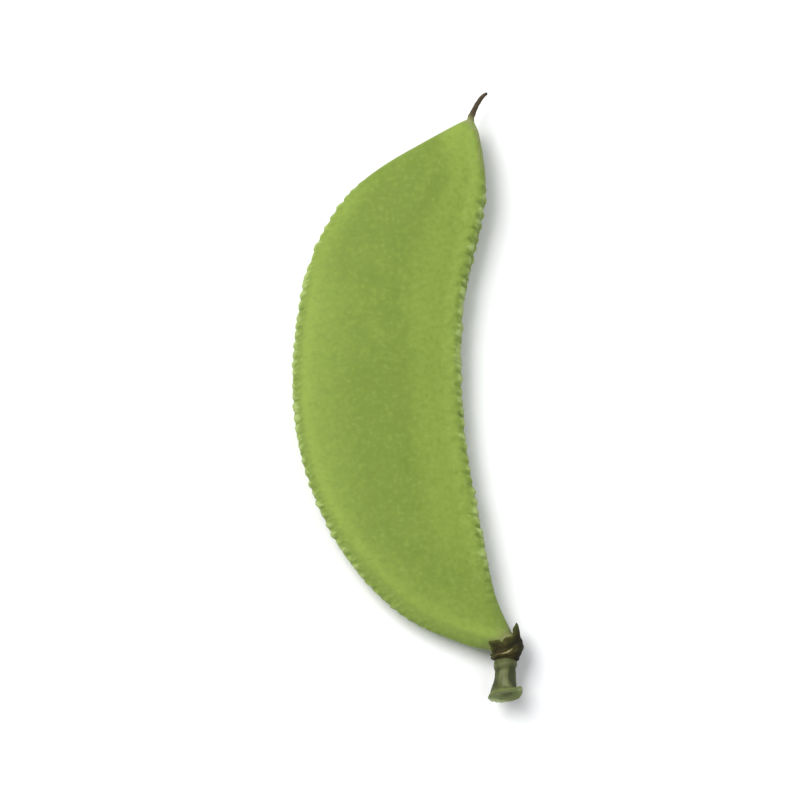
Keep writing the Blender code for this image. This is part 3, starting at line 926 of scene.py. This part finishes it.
def stalk_relief(places, share, centres, smooth):
    """Heights of the fibres, ridges, collar and lumps of the stalk stub."""
    bend = relief(centres * (0.0, 1.0, 0.0), STALK_BEND)[:, None]
    ridges = STALK_RIDGE * np.cos(TURN * (STALK_RIDGES * (places - STALK_RIDGE_AT) + bend))
    ridges = (ridges + ring_relief(places, STALK_FIBRES)) * ramp(share, *STALK_RIDGES_START)
    ridges = ridges * (1.0 - ramp(share, *STALK_RIDGES_LOSS))
    from_collar = share - COLLAR_AT + COLLAR_SLANT * np.cos(TURN * places)
    collar = bell(from_collar, *COLLAR) - bell(from_collar - WAIST_FROM_COLLAR, *WAIST)
    return ridges + collar + relief(smooth * STALK_LUMP_STRETCH, STALK_LUMPS)


def make_pedicel():
    """Stalk stub with lengthwise fibres, from the calyx to the flared and hollowed cut scar."""
    places = np.linspace(0.0, 1.0, PEDICEL_AROUND, endpoint=False)
    centres, along, outward, smooth = tube(PEDICEL_PATH, PEDICEL_RINGS, places, 0.0)
    share = np.linspace(0.0, 1.0, PEDICEL_RINGS)[:, None]
    skin = stalk_relief(places, share, centres, smooth)
    flare = ramp(share, *FLARE_ZONE) * (FLARE_LIP + ring_relief(places, FLARE_WAVES))
    ear = round_bell(places, *EAR) * ramp(share, *EAR_ZONE)
    # painted highlight on part of the cut end's rim
    cut_rim_highlight = round_bell(places, *CUT_RIM_HIGHLIGHT)
    outer = smooth + outward * (skin + flare + EAR_OUT * ear - STALK_SHRINK)[..., None] * MM
    slant = (CUT_SLANT[0] * np.sin(TURN * places) + CUT_SLANT[1]) * ramp(share, *CUT_ZONE)
    outer[..., 1] += (EAR_UP * ear + slant) * MM
    rims = ramp(share, *FLARE_TONE) + EAR_TONE * ear
    rims = rims + CUT_RIM_HIGHLIGHT_TONE * cut_rim_highlight * ramp(share, *CUT_RIM_HIGHLIGHT_ZONE)
    rows = list(zip(outer, skin, rims))
    edge, centre = outer[-1], outer[-1].mean(axis=0)
    # the cut rings near the rim take its pale ear and its painted highlight
    cut_edge_tone_and_highlight = CUT_RIM_HIGHLIGHT_TONE * cut_rim_highlight + EAR_TONE * ear[-1]
    for size, depth, tone in CUT_RINGS:
        heart = centre + PITH * (1.0 - size)
        flat = heart + (edge - heart) * size - along[-1] * depth * MM
        crumble = relief(flat, CUT_CRUMBLE)
        tone = tone + cut_edge_tone_and_highlight * ramp(size, *CUT_RIM_ZONE)
        rows.append((flat + along[-1] * crumble[:, None] * MM, crumble, tone))
    rings, heights, rims = map(np.array, zip(*rows))
    return make_piece("stalk_stub", rings, {"relief": heights, "rim": rims})


def make_style():
    """Short dry beak, wrinkled and bent, thicker where it leaves the pod."""
    places = np.linspace(0.0, 1.0, STYLE_AROUND, endpoint=False)
    _, along, outward, smooth = tube(STYLE_PATH, STYLE_RINGS, places, LAST_RIB)
    share = np.linspace(0.0, 1.0, STYLE_RINGS)[:, None]
    skin = relief(smooth, STYLE_LUMPS) + ring_relief(places, STYLE_WRINKLES)
    rings = smooth + outward * (skin * (1.0 - STYLE_SMOOTHER * share) - STYLE_SHRINK)[..., None] * MM
    shades = {"relief": skin, "rim": np.broadcast_to(share, skin.shape)}
    return make_piece("dry_style", rings, shades, end=along[-1] * STYLE_POINT)


# Materials

def linear(value):
    """Linear value from a screen value of 0 to 255."""
    share = value / 255.0
    return share / 12.92 if share <= 0.04045 else ((share + 0.055) / 1.055) ** 2.4


class Shading:
    """Builds the nodes of one procedural material. Colours are given as screen values."""

    def __init__(self, name):
        self.material = bpy.data.materials.new(name)
        self.material.use_nodes = True
        self.tree = self.material.node_tree
        self.shader = self.tree.nodes["Principled BSDF"]
        self.place = self.node("TexCoord", "Object", {})

    def put(self, socket, value):
        """Links a node output to a socket, or sets the socket to a plain value."""
        if isinstance(value, bpy.types.NodeSocket):
            self.tree.links.new(value, socket)
        elif socket.type == "RGBA":
            socket.default_value = (*map(linear, value), 1.0)
        else:
            socket.default_value = value

    def node(self, kind, output, inputs, **settings):
        """Output of a new node with these inputs and settings."""
        node = self.tree.nodes.new("ShaderNode" + kind)
        for name, value in settings.items():
            setattr(node, name, value)
        for name, value in inputs.items():
            self.put(node.inputs[name], value)
        return node.outputs[output]

    def noise(self, size, detail=2.0, scale=(1.0, 1.0, 1.0), distortion=0.0):
        """Noise from 0 to 1 with features of about this size in mm, times a scale for each axis."""
        place = self.node("Mapping", "Vector", {"Vector": self.place, "Scale": [part / MM for part in scale]})
        return self.node("TexNoise", "Fac", {"Vector": place, "Scale": 1.0 / size, "Detail": detail,
                                             "Roughness": NOISE_ROUGHNESS, "Distortion": distortion})

    def attribute(self, name):
        """Value that the mesh holds for each point."""
        return self.node("Attribute", "Fac", {}, attribute_name=name)

    def spread(self, value, low, high, to_low=0.0, to_high=1.0):
        """Maps low..high to to_low..to_high, smoothly and clamped."""
        inputs = {"Value": value, "From Min": low, "From Max": high, "To Min": to_low, "To Max": to_high}
        return self.node("MapRange", "Result", inputs, interpolation_type="SMOOTHSTEP")

    def math(self, kind, first, second):
        """One step of arithmetic."""
        return self.node("Math", 0, {0: first, 1: second}, operation=kind)

    def uneven(self, value, noise, amount):
        """Value with noise of this strength added."""
        return self.math("ADD", value, self.math("MULTIPLY", self.math("SUBTRACT", noise, 0.5), amount))

    def mix(self, share, first, second):
        """Mixes two colours."""
        inputs = dict(zip(MIX_INPUTS, (share, first, second)))
        return self.node("Mix", MIX_OUTPUT, inputs, data_type="RGBA")

    def coats(self, colour, rows):
        """Lays colours over one another. Each row has the value that its colour follows, where that
        begins and ends to rise, how much of the colour shows there, and the colour."""
        for value, low, high, share, tint in rows:
            colour = self.mix(self.spread(value, low, high, 0.0, share), colour, tint)
        return colour

    def bump(self, distance, strength, *heights):
        """Bump from a sum of heights, each with its share. A sum of 1 is as high as distance, in mm."""
        total = 0.0
        for height, share in heights:
            total = self.math("ADD", total, self.math("MULTIPLY", height, share))
        return self.node("Bump", "Normal", {"Strength": strength, "Distance": distance * MM, "Height": total})

    def finish(self, **values):
        """Sets inputs of the shader by their names, with _ for a space, and gives the material."""
        for name, value in values.items():
            self.put(self.shader.inputs[name.replace("_", " ")], value)
        return self.material


def skin_material():
    """Matte, faintly downy green skin, paler towards the margins, with a painted highlight along the back
    ridge, pale wart tips that are partly painted highlight, and painted shade in the clefts, the groove and
    the margin strips.
    """
    s = Shading("pod_skin")
    broad, mottle = s.noise(13.0), s.noise(1.9)
    cloud = s.noise(4.0, 3.0, (1.0, 0.7, 1.0))
    grain, fine = s.noise(0.85, 3.0), s.noise(0.25)
    flecks = s.noise(0.6, 1.0, (1.0, 0.8, 1.0))
    streaks = s.noise(0.45, 2.0, (1.0, 0.3, 1.0))
    face = s.mix(s.spread(broad, 0.3, 0.7), (113, 134, 51), (121, 142, 56))
    face = s.mix(s.spread(cloud, 0.35, 0.75), face, (108, 132, 48))
    # pale margins, with a painted highlight along the back ridge
    margin = s.uneven(s.uneven(s.attribute("margin"), cloud, 0.5), mottle, 0.45)
    colour = s.coats(s.mix(margin, face, (135, 157, 66)), (
        # painted shade at the very margins
        (s.uneven(s.attribute("edge"), mottle, 0.5), 0.0, 1.0, 0.9, (118, 139, 62)),
        (grain, 0.48, 0.75, 0.4, (143, 163, 78)),
        (grain, 0.50, 0.28, 0.33, (102, 124, 42)),
        # pale wart and bump tips, partly painted highlight
        (s.uneven(s.attribute("wart"), grain, 0.5), 0.40, 1.0, 0.85, (160, 178, 108)),
        # painted shade in the clefts and the groove
        (s.attribute("cleft"), 0.15, 1.0, 0.42, (82, 103, 38)),
        (flecks, 0.70, 0.80, 0.2, (96, 100, 40)),
        (s.uneven(s.attribute("dry"), streaks, 1.2), 0.35, 1.15, 0.75, (146, 148, 102)),
    ))
    return s.finish(Base_Color=colour, Roughness=s.spread(grain, 0.3, 0.7, 0.60, 0.74),
                    Specular_IOR_Level=0.22, Subsurface_Weight=0.12, Subsurface_Radius=(0.5, 0.8, 0.2),
                    Subsurface_Scale=0.0012, Sheen_Weight=0.08, Sheen_Roughness=0.5,
                    Sheen_Tint=(225, 235, 190), Normal=s.bump(0.09, 0.8, (grain, 0.55), (fine, 0.45)))


def calyx_material():
    """Dry, dull brown skin with painted shade in its folds and painted highlight on them, olive at its torn
    rim.
    """
    s = Shading("dry_calyx")
    patches, rust = s.noise(1.6, 3.0, distortion=0.6), s.noise(2.4)
    grain, fine = s.noise(0.35, 3.0, (1.0, 0.45, 1.0)), s.noise(0.12)
    rust = s.math("ADD", rust, s.math("MULTIPLY", s.attribute("rust"), 0.25))
    tone = s.uneven(s.attribute("tone"), grain, 0.8)
    brown = s.mix(s.spread(patches, 0.35, 0.65), (42, 40, 17), (68, 64, 31))
    colour = s.coats(brown, (
        (rust, 0.60, 0.78, 0.7, (62, 49, 24)),
        (s.uneven(s.attribute("rim"), grain, 0.3), 0.76, 1.02, 0.7, (84, 92, 36)),
        # pale patch and lip, with painted highlight on the folds' crests
        (tone, 0.15, 1.05, 0.92, (162, 156, 108)),
        # painted shade in the folds, on the seam side and in two spots
        (tone, 0.1, -0.9, 0.9, (33, 32, 12)),
        # painted shade in the hollows of wrinkles and lumps, and inside the cup
        (s.attribute("relief"), 0.0, -0.16, 0.5, (34, 31, 18)),
        (s.uneven(s.attribute("lip"), grain, 0.5), 0.2, 0.8, 0.8, (132, 136, 88)),
    ))
    return s.finish(Base_Color=colour, Roughness=s.spread(grain, 0.3, 0.7, 0.75, 0.92),
                    Specular_IOR_Level=0.18, Normal=s.bump(0.12, 0.9, (grain, 0.7), (fine, 0.3)))


def stalk_material():
    """Olive, faintly woody skin with painted highlight on its lengthwise ridges and painted shade between
    them, with a pale green cut end and a painted highlight on its rim.
    """
    s = Shading("stalk")
    fibres, grain = s.noise(0.5, 3.0, (1.0, 0.14, 1.0)), s.noise(0.18)
    patches = s.noise(1.8, 2.0, (1.0, 0.6, 1.0))
    height, rim = s.attribute("relief"), s.attribute("rim")
    olive = s.mix(s.spread(patches, 0.35, 0.65), (66, 72, 34), (80, 87, 44))
    colour = s.coats(olive, (
        (fibres, 0.48, 0.78, 0.4, (108, 112, 72)),
        (fibres, 0.48, 0.25, 0.5, (56, 60, 32)),
        # painted highlight on the ridges' crests and the collar
        (height, 0.02, 0.17, 0.75, (118, 122, 84)),
        # painted shade in the furrows and the waist
        (height, 0.02, -0.13, 0.85, (50, 57, 25)),
        (s.uneven(rim, patches, 0.4), 0.15, 1.0, 0.9, (112, 123, 70)),
        # brightest on the pale ear and where the rim holds the painted highlight
        (rim, 1.0, 1.8, 0.9, (172, 186, 132)),
    ))
    return s.finish(Base_Color=colour, Roughness=s.spread(fibres, 0.3, 0.7, 0.6, 0.8),
                    Specular_IOR_Level=0.35, Normal=s.bump(0.10, 0.8, (fibres, 0.7), (grain, 0.3)))


def style_material():
    """Dry thread, green-brown where it leaves the pod and dark towards its point."""
    s = Shading("dry_style")
    fibres, patches = s.noise(0.25, 3.0, (1.0, 0.3, 1.0)), s.noise(0.8)
    rim = s.attribute("rim")
    along = s.spread(s.uneven(rim, patches, 0.25), 0.05, 0.40)
    colour = s.coats(s.mix(along, (122, 126, 76), (66, 54, 38)), (
        (fibres, 0.45, 0.75, 0.5, (112, 98, 70)),
        (rim, 0.80, 1.0, 0.7, (40, 31, 24)),
    ))
    return s.finish(Base_Color=colour, Roughness=s.spread(fibres, 0.3, 0.7, 0.65, 0.85),
                    Specular_IOR_Level=0.3, Normal=s.bump(0.06, 0.8, (fibres, 1.0)))


# Stage

def make_floor(half, colour):
    """Pale seamless floor."""
    mesh = bpy.data.meshes.new("floor")
    corners = [(x * half, y * half, 0.0) for x, y in ((-1, -1), (1, -1), (1, 1), (-1, 1))]
    mesh.from_pydata(corners, [], [(0, 1, 2, 3)])
    material = bpy.data.materials.new("floor")
    material.use_nodes = True
    shader = material.node_tree.nodes["Principled BSDF"]
    shader.inputs["Base Color"].default_value = (*colour, 1.0)
    shader.inputs["Roughness"].default_value = 0.9
    shader.inputs["Specular IOR Level"].default_value = 0.2
    mesh.materials.append(material)
    add_object("floor", mesh)


def make_lamp(name, place, size, power, colour):
    """Square soft lamp that points at the pod."""
    data = bpy.data.lights.new(name, "AREA")
    data.size = size
    data.energy = power
    data.color = colour
    lamp = add_object(name, data)
    lamp.location = place
    lamp.rotation_euler = (-Vector(place)).to_track_quat("-Z", "Y").to_euler()


def make_world(colour, strength):
    """Even light from all round."""
    world = bpy.data.worlds.new("studio")
    world.use_nodes = True
    background = world.node_tree.nodes["Background"]
    background.inputs["Color"].default_value = (*colour, 1.0)
    background.inputs["Strength"].default_value = strength
    bpy.context.scene.world = world


def make_camera(azimuth, elevation, distance, lens, aim):
    """Camera nearly above the pod, on the stalk's side."""
    turn, rise = math.radians(azimuth), math.radians(elevation)
    away = Vector((math.sin(turn) * math.cos(rise), -math.cos(turn) * math.cos(rise), math.sin(rise)))
    data = bpy.data.cameras.new("camera")
    data.type = "PERSP"
    data.lens = lens
    data.sensor_width = 36.0
    data.clip_start = 0.01
    camera = add_object("camera", data)
    camera.location = Vector(aim) + away * distance
    camera.rotation_euler = away.to_track_quat("Z", "Y").to_euler()
    bpy.context.scene.camera = camera


def dress(piece, node, material):
    """Lets a piece stand for a solid of the model, with its finish."""
    piece.data.materials.append(material)
    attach(piece, "root")
    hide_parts(node)


def main():
    dress(make_pod(), "pod", skin_material())
    dress(make_calyx(), "calyx", calyx_material())
    dress(make_pedicel(), "pedicel", stalk_material())
    dress(make_style(), "style", style_material())
    make_floor(half=3.0, colour=(0.93, 0.935, 0.95))
    make_lamp("key", place=(-0.40, 0.28, 0.72), size=0.60, power=8.0, colour=(1.0, 0.99, 0.97))
    make_lamp("fill", place=(0.55, -0.25, 0.65), size=0.8, power=2.0, colour=(1.0, 1.0, 1.0))
    make_world(colour=(0.96, 0.98, 1.0), strength=0.40)
    make_camera(azimuth=-3.35, elevation=75.0, distance=2.0, lens=535.7, aim=(0.0, 0.0, 0.003))
    bpy.context.scene.view_settings.view_transform = "Standard"


main()
